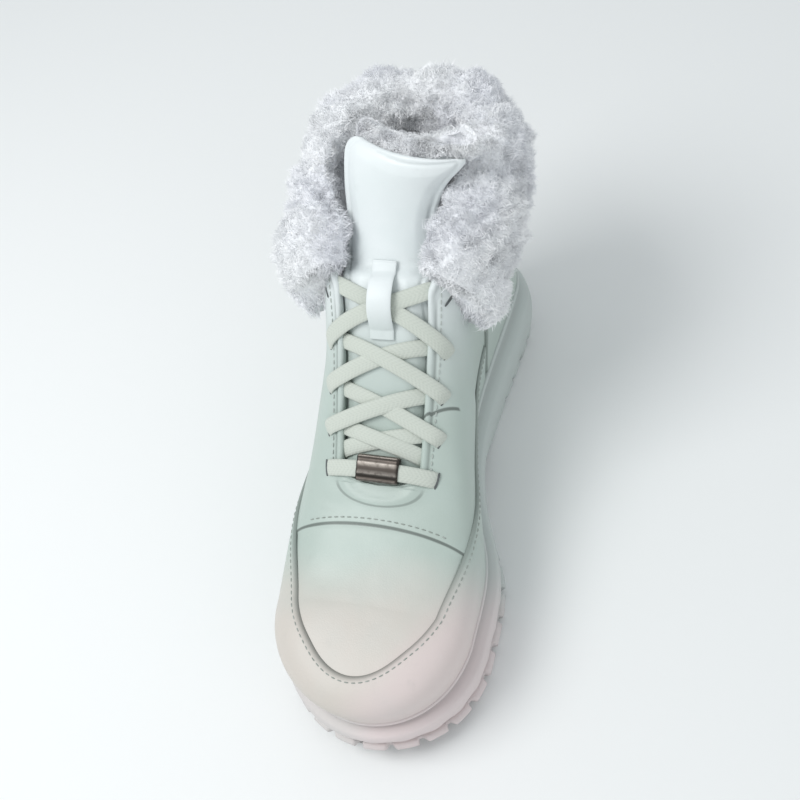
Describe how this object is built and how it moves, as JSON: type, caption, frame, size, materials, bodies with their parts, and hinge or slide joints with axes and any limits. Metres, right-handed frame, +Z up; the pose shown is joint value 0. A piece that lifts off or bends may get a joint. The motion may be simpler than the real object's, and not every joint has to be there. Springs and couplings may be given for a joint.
{
  "type": "winter boot",
  "caption": "Lace-up ankle boot on a thick stepped rubber sole, with smooth leather panels and a turned-out shearling collar around a tall padded tongue.",
  "frame": {"origin": "centre of the boot's footprint, on the floor that it stands on", "axes": "+Z up, -Y towards the toe, +Y towards the heel, +X towards the inner side of this right boot"},
  "size_m": [0.1133, 0.2867, 0.1966],
  "materials": {
    "tread_rubber": "cream moulded rubber",
    "sole_rubber": "off-white moulded rubber, satin",
    "footbed_felt": "grey felt",
    "leather": "smooth white leather, soft sheen",
    "shearling": "cool white deep pile",
    "lace": "flat woven white",
    "dull_metal": "dull ribbed metal"
  },
  "bodies": {
    "root": {"outsole": "tread_rubber", "midsole": "sole_rubber", "insole": "footbed_felt", "upper": "leather", "mudguard": "leather", "heel_counter": "leather", "heel_pull_tab": "leather", "tongue": "leather", "tongue_loop": "leather", "tongue_fur": "shearling", "fur_cuff": "shearling", "lace_bar": "lace", "lace_cross_1": "lace", "lace_cross_2": "lace", "lace_cross_3": "lace", "lace_cross_4": "lace", "lace_charm": "dull_metal"}
  },
  "joints": []
}
